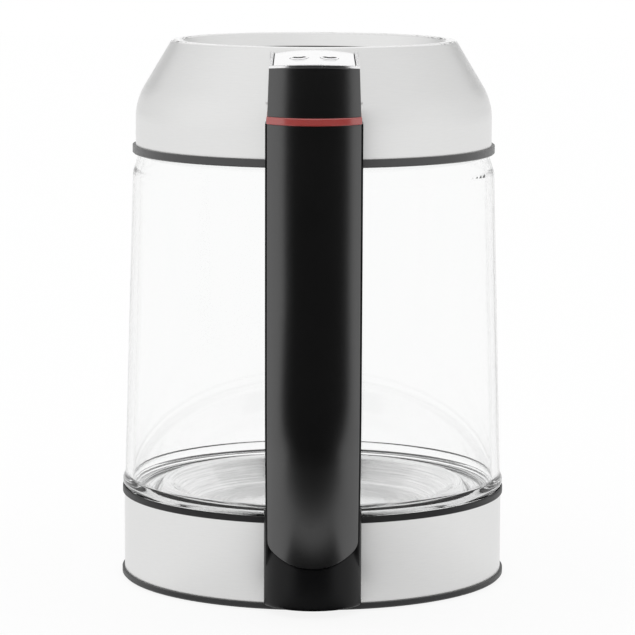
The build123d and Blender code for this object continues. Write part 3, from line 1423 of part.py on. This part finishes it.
# Button spring and latch spring: hidden sleeves at the size of their coils
BUTTON_SPRING_Z = ring_height(BUTTON_SPRING_Y) + SPRING_LIFT
with BuildPart() as button_spring:
    with BuildSketch(Plane.XY.offset(BUTTON_SPRING_Z)):
        with Locations((0, BUTTON_SPRING_Y)):
            Circle(BUTTON_SPRING_R)
            Circle(BUTTON_SPRING_R - SPRING_WIRE, mode=Mode.SUBTRACT)
    extrude(amount=head_height(BUTTON_SPRING_Y) - BUTTON_T - SPRING_LIFT - BUTTON_SPRING_Z)
save(button_spring, "button_spring")

with BuildPart() as latch_spring:
    with BuildSketch(Plane.XZ.offset(LATCH_REACH + SPRING_GAP)):
        with Locations((0, WINDOW_Z)):
            Circle(LATCH_SPRING_R)
            Circle(LATCH_SPRING_R - SPRING_WIRE, mode=Mode.SUBTRACT)
    extrude(amount=LATCH_SPRING_LENGTH - 2 * SPRING_GAP)
save(latch_spring, "latch_spring")

# Handle screws: two through the collar and two through the base band
with BuildPart() as upper_handle_screws:
    with Locations(Plane.XZ.offset(UPPER_SCREW_Y)):
        with Locations((-HANDLE_SCREW_X, UPPER_SCREW_Z), (HANDLE_SCREW_X, UPPER_SCREW_Z)):
            add(screw(UPPER_SCREW_LENGTH))
save(upper_handle_screws, "upper_handle_screws")

with BuildPart() as lower_handle_screws:
    with Locations(Plane.XZ.offset(LOWER_SCREW_Y)):
        with Locations((-HANDLE_SCREW_X, LOWER_SCREW_Z), (HANDLE_SCREW_X, LOWER_SCREW_Z)):
            add(screw(LOWER_SCREW_LENGTH))
save(lower_handle_screws, "lower_handle_screws")
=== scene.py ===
import math

import bpy
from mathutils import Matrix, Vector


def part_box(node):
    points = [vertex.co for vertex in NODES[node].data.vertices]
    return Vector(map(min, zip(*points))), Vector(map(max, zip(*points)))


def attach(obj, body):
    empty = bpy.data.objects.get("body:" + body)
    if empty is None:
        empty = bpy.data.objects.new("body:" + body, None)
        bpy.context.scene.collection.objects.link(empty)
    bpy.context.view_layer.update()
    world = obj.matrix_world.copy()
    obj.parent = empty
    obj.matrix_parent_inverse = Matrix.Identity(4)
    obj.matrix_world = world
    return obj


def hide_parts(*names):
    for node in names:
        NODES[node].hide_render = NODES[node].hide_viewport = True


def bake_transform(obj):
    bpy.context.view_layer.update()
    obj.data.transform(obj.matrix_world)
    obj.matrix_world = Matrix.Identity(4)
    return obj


# Looks, light and camera for the glass kettle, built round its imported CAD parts.
# Metres, in the CAD frame: +Z up along the jug's axis, handle along -Y, spout along +Y.

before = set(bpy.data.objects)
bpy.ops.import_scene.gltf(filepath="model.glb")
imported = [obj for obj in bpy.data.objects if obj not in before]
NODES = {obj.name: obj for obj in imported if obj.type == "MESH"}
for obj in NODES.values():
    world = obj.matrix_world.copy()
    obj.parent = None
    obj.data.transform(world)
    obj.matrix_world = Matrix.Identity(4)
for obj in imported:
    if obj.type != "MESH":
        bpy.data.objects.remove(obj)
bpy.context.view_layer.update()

# Camera, fitted to the photograph's ellipses
CAMERA_DISTANCE = 1.4081
CAMERA_HEIGHT = 0.2949
CAMERA_X = 0.0011
CAMERA_PITCH = 82.281
CAMERA_AZIMUTH = 0.12
CAMERA_ROLL = -0.2
CAMERA_LENS = 198.86
CAMERA_SENSOR = 36.0

# Studio: brightness of the white tent by direction, in degrees from the camera's side, left negative
TENT = (
    (-180, 1.0),
    (-168, 0.98),
    (-152, 0.86),
    (-120, 0.90),
    (-85, 1.0),
    (-55, 1.0),
    (-35, 0.99),
    (35, 0.95),
    (55, 0.96),
    (85, 0.97),
    (120, 0.89),
    (152, 0.86),
    (168, 0.98),
    (180, 1.0),
)
TENT_HIGH = 0.05
TENT_HIGH_RIGHT = 0.12
MATT = 0.9
FLOOR_SIZE = 8.0
FLOOR_DROP = 0.0005
FLOOR_GREY = 0.9
FLOOR_GLOW = 0.85
FLOOR_WHITE = 1.03
FLOOR_DIM = 0.74
FLOOR_DIM_PLACE = (0.050, -0.20)
FLOOR_DIM_REACH = (0.08, 0.22)

# Black cards that only reflections see, as rows of y, z, left end and right end.
# They stand before the handle, on the floor, at the handle's foot and behind the lid.
CARD_GREY = 0.01
CARDS = {
    "front_flag": (
        (-0.152, 0.245, -0.036, 0.060),
        (-0.147, 0.120, -0.036, 0.060),
        (-0.141, 0.080, -0.042, 0.062),
        (-0.137, 0.045, -0.048, 0.056),
        (-0.136, 0.000, -0.038, 0.042),
    ),
    "floor_flag": ((-0.150, 0.0, -0.056, 0.060), (-0.120, 0.0, -0.056, 0.060)),
    "foot_flag": ((-0.107, 0.0, -0.026, 0.028), (-0.088, 0.0, -0.026, 0.028)),
    "high_strip": ((1.0, 0.465, -0.8, 0.8), (1.0, 0.530, -0.8, 0.8)),
    "low_strip": ((1.0, 0.352, -0.8, 0.8), (1.0, 0.380, -0.8, 0.8)),
}

# Collar: height above which its rim's crest is polished and given a painted highlight (lighter colour), and
# below which its well is given painted shade at the lid's edge
RIM_HIGHLIGHT_Z = 0.2159
RIM_FADE = 0.0004
RIM_HIGHLIGHT_GREY = (0.94, 0.94, 0.935)
RIM_POLISH = 0.2
WELL_SHADE_Z = 0.2112
WELL_FADE = 0.0003
WELL_SHADE_GREY = (0.03, 0.03, 0.03)
WELL_R = 0.0545

# Relief: depth of the metals' grain, of the plastics' grain and of the glass's waves, and samples per soft edge
METAL_DEPTH = 0.00002
MOULD_DEPTH = 0.00004
WAVE_DEPTH = 0.0003
EDGE_SAMPLES = 6

# Glass: how far its seat is lifted off the steel it stands on, so that light passes between them
GLASS_LIFT = 0.0001
GLASS_IOR = 1.45

# Springs as rows of piece, node, the body that the spring drives and the axis along which it gives
X, Y, Z = range(3)
SPRINGS = (
    ("button_coil", "button_spring", "button", Z),
    ("latch_coil", "latch_spring", "latch", Y),
    ("lid_coil", "lid_spring", "lid", X),
)


def new_material(name):
    """A node material, its tree and its shader."""
    material = bpy.data.materials.new(name)
    material.use_nodes = True
    tree = material.node_tree
    return material, tree, tree.nodes["Principled BSDF"]


def link(tree, source, target):
    """Join two sockets."""
    tree.links.new(source, target)


def position(tree):
    """The point in the row frame, in metres."""
    return tree.nodes.new("ShaderNodeTexCoord").outputs["Object"]


def math_node(tree, operation, first, second=None):
    """One arithmetic step, on sockets or numbers."""
    node = tree.nodes.new("ShaderNodeMath")
    node.operation = operation
    for index, value in enumerate((first, second)):
        if value is None:
            continue
        if isinstance(value, (int, float)):
            node.inputs[index].default_value = value
        else:
            link(tree, value, node.inputs[index])
    return node.outputs[0]


def noise(tree, vector, scale, detail=4.0, roughness=0.55):
    """Noise value at a vector."""
    node = tree.nodes.new("ShaderNodeTexNoise")
    node.inputs["Scale"].default_value = scale
    node.inputs["Detail"].default_value = detail
    node.inputs["Roughness"].default_value = roughness
    link(tree, vector, node.inputs["Vector"])
    return node.outputs["Fac"]


def ramp(tree, value, low, high):
    """Colour that runs between two colours as a noise value goes from 0.3 to 0.7."""
    node = tree.nodes.new("ShaderNodeValToRGB")
    node.color_ramp.elements[0].position = 0.3
    node.color_ramp.elements[0].color = (*low, 1.0)
    node.color_ramp.elements[1].position = 0.7
    node.color_ramp.elements[1].color = (*high, 1.0)
    link(tree, value, node.inputs["Fac"])
    return node.outputs["Color"]


def remap(tree, value, low, high, start=0.3, end=0.7):
    """Spread a value from one range of numbers over another."""
    node = tree.nodes.new("ShaderNodeMapRange")
    node.inputs["From Min"].default_value = start
    node.inputs["From Max"].default_value = end
    node.inputs["To Min"].default_value = low
    node.inputs["To Max"].default_value = high
    link(tree, value, node.inputs["Value"])
    return node.outputs["Result"]


def relief(tree, shader, height, strength, distance, edge=0.0):
    """Small relief on a shader's normal, over edges softened by a given radius."""
    node = tree.nodes.new("ShaderNodeBump")
    node.inputs["Strength"].default_value = strength
    node.inputs["Distance"].default_value = distance
    link(tree, height, node.inputs["Height"])
    if edge:
        soft = tree.nodes.new("ShaderNodeBevel")
        soft.samples = EDGE_SAMPLES
        soft.inputs["Radius"].default_value = edge
        link(tree, soft.outputs["Normal"], node.inputs["Normal"])
    link(tree, node.outputs["Normal"], shader.inputs["Normal"])


def cylinder(tree):
    """Angle round the kettle's axis, distance from it and height."""
    parts = tree.nodes.new("ShaderNodeSeparateXYZ")
    link(tree, position(tree), parts.inputs[0])
    angle = math_node(tree, "ARCTAN2", parts.outputs["Y"], parts.outputs["X"])
    square = math_node(
        tree,
        "ADD",
        math_node(tree, "MULTIPLY", parts.outputs["X"], parts.outputs["X"]),
        math_node(tree, "MULTIPLY", parts.outputs["Y"], parts.outputs["Y"]),
    )
    return angle, math_node(tree, "SQRT", square), parts.outputs["Z"]


def round_grain(tree, across, along):
    """Vector for grain that runs round the kettle's axis: fine across, long along the circle."""
    joined = tree.nodes.new("ShaderNodeCombineXYZ")
    for value, scale, axis in zip(cylinder(tree), (along, across, across), "XYZ"):
        link(tree, math_node(tree, "MULTIPLY", value, scale), joined.inputs[axis])
    return joined.outputs["Vector"]


def metal(name, low, high, rough, grain, across=2600.0, along=14.0, brushed=0.0, edge=0.0):
    """Metal with grain round the axis in its colour, roughness and relief."""
    material, tree, shader = new_material(name)
    shader.inputs["Metallic"].default_value = 1.0
    value = noise(tree, round_grain(tree, across, along), 1.0)
    link(tree, ramp(tree, value, low, high), shader.inputs["Base Color"])
    link(tree, remap(tree, value, *rough), shader.inputs["Roughness"])
    relief(tree, shader, value, grain, METAL_DEPTH, edge)
    if brushed:
        tangent = tree.nodes.new("ShaderNodeTangent")
        tangent.direction_type = "RADIAL"
        tangent.axis = "Z"
        link(tree, tangent.outputs["Tangent"], shader.inputs["Tangent"])
        shader.inputs["Anisotropic"].default_value = brushed
    return material


def moulded(name, low, high, rough, grain, scale=900.0, specular=0.5, ior=1.5, edge=0.0):
    """Moulded plastic or rubber with a fine grain and broad, faint changes of tone."""
    material, tree, shader = new_material(name)
    place = position(tree)
    fine = noise(tree, place, scale)
    broad = noise(tree, place, 40.0, 2.0)
    link(tree, ramp(tree, broad, low, high), shader.inputs["Base Color"])
    link(tree, remap(tree, fine, *rough), shader.inputs["Roughness"])
    shader.inputs["Specular IOR Level"].default_value = specular
    shader.inputs["IOR"].default_value = ior
    relief(tree, shader, fine, grain, MOULD_DEPTH, edge)
    return material


RED_LOOK = ((0.385, 0.050, 0.045), (0.43, 0.061, 0.056), (0.2, 0.26), 0.03)


def red_plastic():
    """Translucent red ring that takes up light from its edges."""
    material = moulded("red_translucent", *RED_LOOK, scale=300.0, specular=1.0, ior=1.6)
    shader = material.node_tree.nodes["Principled BSDF"]
    shader.inputs["Subsurface Weight"].default_value = 0.25
    shader.inputs["Subsurface Radius"].default_value = (0.002, 0.0006, 0.0005)
    return material


def clear_glass():
    """Clear borosilicate with faint drawn waviness."""
    material, tree, shader = new_material("clear_glass")
    value = noise(tree, round_grain(tree, 30.0, 6.0), 1.0, 2.0)
    link(tree, ramp(tree, value, (0.994, 0.998, 0.996), (1.0, 1.0, 1.0)), shader.inputs["Base Color"])
    link(tree, remap(tree, value, 0.0, 0.01), shader.inputs["Roughness"])
    shader.inputs["Transmission Weight"].default_value = 1.0
    shader.inputs["IOR"].default_value = GLASS_IOR
    relief(tree, shader, value, 0.05, WAVE_DEPTH)
    return material


SATIN_LOOK = ((0.795, 0.795, 0.79), (0.82, 0.82, 0.815), (0.28, 0.33), 0.06)
SATIN = metal("satin_steel", *SATIN_LOOK, brushed=0.5)
COLLAR = metal("satin_steel_collar", *SATIN_LOOK, brushed=0.5)
POLISHED = metal("polished_steel", (0.62, 0.62, 0.62), (0.86, 0.86, 0.86), (0.06, 0.18), 0.25, 1500.0, 2.0)
SHEATH = metal("sheath_steel", (0.35, 0.35, 0.36), (0.45, 0.45, 0.45), (0.3, 0.45), 0.2)
ZINC = metal("zinc_screw", (0.5, 0.5, 0.53), (0.62, 0.62, 0.63), (0.25, 0.4), 0.2)
ALUMINIUM = metal("cast_aluminium", (0.55, 0.55, 0.56), (0.66, 0.66, 0.66), (0.4, 0.55), 0.4, 500.0, 40.0)
BRASS = metal("contact_brass", (0.62, 0.45, 0.18), (0.74, 0.56, 0.26), (0.2, 0.32), 0.15)
PLATING = (0.03, 700.0, 60.0)
CHROME = metal("bright_chrome", (0.92, 0.92, 0.93), (0.96, 0.96, 0.96), (0.03, 0.06), *PLATING, edge=0.0003)
PLATED = metal("bright_chrome_bezel", (0.90, 0.90, 0.91), (0.94, 0.94, 0.94), (0.22, 0.28), *PLATING)
HANDLE_LOOK = ((0.0030, 0.0030, 0.0034), (0.0045, 0.0045, 0.0050), (0.31, 0.35), 0.05)
HANDLE = moulded("handle_black", *HANDLE_LOOK, specular=1.0, ior=1.6, edge=0.0009)
FRAME = moulded("handle_black_frame", *HANDLE_LOOK, specular=0.22, edge=0.0016)
BLACK = moulded("black_plastic", (0.010, 0.010, 0.011), (0.016, 0.016, 0.017), (0.40, 0.5), 0.3)
GREY = moulded("grey_plastic", (0.24, 0.24, 0.25), (0.30, 0.30, 0.31), (0.42, 0.55), 0.3)
SILICONE_LOOK = ((0.008, 0.008, 0.009), (0.016, 0.016, 0.017), (0.3, 0.42), 0.2)
SILICONE = moulded("black_silicone", *SILICONE_LOOK, specular=1.0)
SEAL_LOOK = ((0.006, 0.006, 0.007), (0.012, 0.012, 0.013), (0.4, 0.5), 0.2)
SEAL = moulded("black_silicone_seal", *SEAL_LOOK, specular=0.3)
CLEAR_RUBBER = moulded("clear_silicone", (0.62, 0.62, 0.6), (0.72, 0.72, 0.7), (0.4, 0.55), 0.2)
RED = red_plastic()
GLASS = clear_glass()


def rim_polish_and_painted_light(material):
    """Painted highlight (lighter colour) with polish (lower roughness) along the rim's crest, and painted shade
    in the well round the lid's edge, both by height.
    """
    tree = material.node_tree
    shader = tree.nodes["Principled BSDF"]
    radius, height = cylinder(tree)[1:]
    inside = math_node(tree, "LESS_THAN", radius, WELL_R)
    low = remap(tree, height, 1.0, 0.0, WELL_SHADE_Z - WELL_FADE, WELL_SHADE_Z)
    painted_gap_shade = math_node(tree, "MULTIPLY", low, inside)
    crest = remap(tree, height, 0.0, 1.0, RIM_HIGHLIGHT_Z, RIM_HIGHLIGHT_Z + RIM_FADE)
    # Painted shade in the well below the lid's edge, then a painted highlight along the rim's crest, both in
    # the base colour
    for mask, colour in ((painted_gap_shade, WELL_SHADE_GREY), (crest, RIM_HIGHLIGHT_GREY)):
        mix = tree.nodes.new("ShaderNodeMix")
        mix.data_type = "RGBA"
        link(tree, mask, mix.inputs["Factor"])
        link(tree, shader.inputs["Base Color"].links[0].from_socket, mix.inputs[6])
        mix.inputs[7].default_value = (*colour, 1.0)
        link(tree, mix.outputs[2], shader.inputs["Base Color"])
    smooth = math_node(tree, "MULTIPLY", crest, RIM_POLISH)
    rough = shader.inputs["Roughness"].links[0].from_socket
    link(tree, math_node(tree, "SUBTRACT", rough, smooth), shader.inputs["Roughness"])


# Painted highlight on the collar's crest and painted shade in its well
rim_polish_and_painted_light(COLLAR)

FINISH = {
    "base_cover": BLACK,
    "base_cover_screws": ZINC,
    "base_chassis": GREY,
    "base_band": SATIN,
    "lower_seal": SEAL,
    "glass_body": GLASS,
    "heating_plate": POLISHED,
    "heat_diffuser": ALUMINIUM,
    "heating_element": SHEATH,
    "heater_terminals": ZINC,
    "control_body": GREY,
    "contact_rings": BRASS,
    "centre_contact": BRASS,
    "bimetal_discs": BRASS,
    "upper_gasket": SILICONE,
    "collar": COLLAR,
    "collar_liner": BLACK,
    "lid_seat": BLACK,
    "spout_filter": GREY,
    "handle_frame": FRAME,
    "handle_cover": HANDLE,
    "accent_ring": RED,
    "handle_head": HANDLE,
    "head_trim": SATIN,
    "button_bezel": PLATED,
    "upper_handle_screws": ZINC,
    "lower_handle_screws": ZINC,
    "button_pivot_pin": POLISHED,
    "button_spring": SHEATH,
    "latch_spring": SHEATH,
    "lid_hinge_pin": POLISHED,
    "lid_spring": SHEATH,
    "lid_top": SATIN,
    "lid_body": BLACK,
    "lid_gasket": CLEAR_RUBBER,
    "lid_button": CHROME,
    "latch_slider": GREY,
}
for node, material in FINISH.items():
    mesh = NODES[node].data
    mesh.materials.clear()
    mesh.materials.append(material)


def stand_in(name, node):
    """A piece on a copy of a node's mesh, shown in place of that node."""
    piece = bpy.data.objects.new(name, NODES[node].data.copy())
    bpy.context.scene.collection.objects.link(piece)
    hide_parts(node)
    return piece


def glass_jug():
    """The glass body with its seat a hair above the plate's flange."""
    piece = stand_in("glass_jug", "glass_body")
    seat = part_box("glass_body")[0][2] + GLASS_LIFT / 2
    for vertex in piece.data.vertices:
        if vertex.co.z < seat:
            vertex.co.z += GLASS_LIFT
    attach(piece, "jug")


def spring(name, node, body, axis):
    """A spring's node copied into a piece shown in its place, with its transform baked in; the body is not
    used, nor is the end worked out from the axis.
    """
    low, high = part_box(node)
    end = list(low)
    end[axis] = high[axis]
    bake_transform(stand_in(name, node))


glass_jug()
for row in SPRINGS:
    spring(*row)


def seen(tree, *rays):
    """1 for the kinds of ray that are named, 0 for all others."""
    path = tree.nodes.new("ShaderNodeLightPath")
    total = path.outputs[rays[0]]
    for ray in rays[1:]:
        total = math_node(tree, "MAXIMUM", total, path.outputs[ray])
    return total


def floor():
    """White floor that keeps a soft shadow; reflections see it dimmer in front of the handle."""
    bpy.ops.mesh.primitive_plane_add(size=FLOOR_SIZE, location=(0, 0, -FLOOR_DROP))
    sheet = bpy.context.object
    sheet.name = "floor"
    material, tree, shader = new_material("floor")
    shader.inputs["Base Color"].default_value = (FLOOR_GREY, FLOOR_GREY, FLOOR_GREY, 1.0)
    shader.inputs["Roughness"].default_value = MATT
    parts = tree.nodes.new("ShaderNodeSeparateXYZ")
    link(tree, position(tree), parts.inputs[0])
    glow = tree.nodes.new("ShaderNodeEmission")
    across = math_node(tree, "SUBTRACT", parts.outputs["X"], FLOOR_DIM_PLACE[0])
    ahead = math_node(tree, "SUBTRACT", parts.outputs["Y"], FLOOR_DIM_PLACE[1])
    square = math_node(
        tree, "ADD", math_node(tree, "MULTIPLY", across, across), math_node(tree, "MULTIPLY", ahead, ahead)
    )
    dim = remap(tree, math_node(tree, "SQRT", square), FLOOR_DIM, 1.0, *FLOOR_DIM_REACH)
    white = math_node(tree, "MULTIPLY", seen(tree, "Is Camera Ray"), FLOOR_WHITE)
    link(tree, math_node(tree, "MAXIMUM", dim, white), glow.inputs["Strength"])
    mix = tree.nodes.new("ShaderNodeMixShader")
    rays = seen(tree, "Is Camera Ray", "Is Glossy Ray", "Is Transmission Ray")
    link(tree, math_node(tree, "MULTIPLY", rays, FLOOR_GLOW), mix.inputs["Fac"])
    link(tree, shader.outputs["BSDF"], mix.inputs[1])
    link(tree, glow.outputs["Emission"], mix.inputs[2])
    link(tree, mix.outputs["Shader"], tree.nodes["Material Output"].inputs["Surface"])
    sheet.data.materials.append(material)


def tent():
    """White studio tent as the world, bright by direction, but plain white to the camera and through glass."""
    world = bpy.data.worlds.new("studio")
    bpy.context.scene.world = world
    world.use_nodes = True
    tree = world.node_tree
    parts = tree.nodes.new("ShaderNodeSeparateXYZ")
    link(tree, tree.nodes.new("ShaderNodeTexCoord").outputs["Generated"], parts.inputs[0])
    ahead = math_node(tree, "MULTIPLY", parts.outputs["Y"], -1.0)
    turn = math_node(tree, "ARCTAN2", parts.outputs["X"], ahead)
    bands = tree.nodes.new("ShaderNodeFloatCurve")
    curve = bands.mapping.curves[0]
    for angle, grey in TENT[1:-1]:
        curve.points.new((angle + 180) / 360, grey)
    curve.points[0].location = (0.0, TENT[0][1])
    curve.points[-1].location = (1.0, TENT[-1][1])
    bands.mapping.update()
    link(tree, remap(tree, turn, 0.0, 1.0, -math.pi, math.pi), bands.inputs["Value"])
    right = math_node(tree, "MULTIPLY", math_node(tree, "MAXIMUM", parts.outputs["X"], 0.0), TENT_HIGH_RIGHT)
    high = math_node(tree, "MAXIMUM", parts.outputs["Z"], 0.0)
    fall = math_node(tree, "MULTIPLY", high, math_node(tree, "ADD", right, TENT_HIGH))
    walls = math_node(tree, "SUBTRACT", bands.outputs["Value"], fall)
    plain = seen(tree, "Is Camera Ray", "Is Transmission Ray")
    sky = tree.nodes["Background"]
    sky.inputs["Color"].default_value = (1.0, 1.0, 1.0, 1.0)
    link(tree, math_node(tree, "MAXIMUM", walls, plain), sky.inputs["Strength"])


def card(name, rows):
    """Black card through rows of y, z, left end and right end that only reflections see."""
    points = []
    for y, z, left, right in rows:
        points.append((left, y, z))
        points.append((right, y, z))
    faces = [(2 * i, 2 * i + 1, 2 * i + 3, 2 * i + 2) for i in range(len(rows) - 1)]
    mesh = bpy.data.meshes.new(name)
    mesh.from_pydata(points, [], faces)
    sheet = bpy.data.objects.new(name, mesh)
    bpy.context.scene.collection.objects.link(sheet)
    material, _, shader = new_material(name)
    shader.inputs["Base Color"].default_value = (CARD_GREY, CARD_GREY, CARD_GREY, 1.0)
    shader.inputs["Roughness"].default_value = MATT
    mesh.materials.append(material)
    sheet.visible_camera = False
    sheet.visible_diffuse = False
    sheet.visible_transmission = False
    sheet.visible_shadow = False


def camera():
    """The photograph's camera."""
    data = bpy.data.cameras.new("camera")
    data.lens = CAMERA_LENS
    data.sensor_width = CAMERA_SENSOR
    view = bpy.data.objects.new("camera", data)
    turn = math.radians(CAMERA_AZIMUTH)
    view.location = (
        CAMERA_X * math.cos(turn) - CAMERA_DISTANCE * math.sin(turn),
        -CAMERA_DISTANCE * math.cos(turn) - CAMERA_X * math.sin(turn),
        CAMERA_HEIGHT,
    )
    view.rotation_euler = (math.radians(CAMERA_PITCH), math.radians(CAMERA_ROLL), -turn)
    bpy.context.scene.collection.objects.link(view)
    bpy.context.scene.camera = view


floor()
tent()
for name, rows in CARDS.items():
    card(name, rows)
camera()
bpy.context.scene.view_settings.view_transform = "Standard"
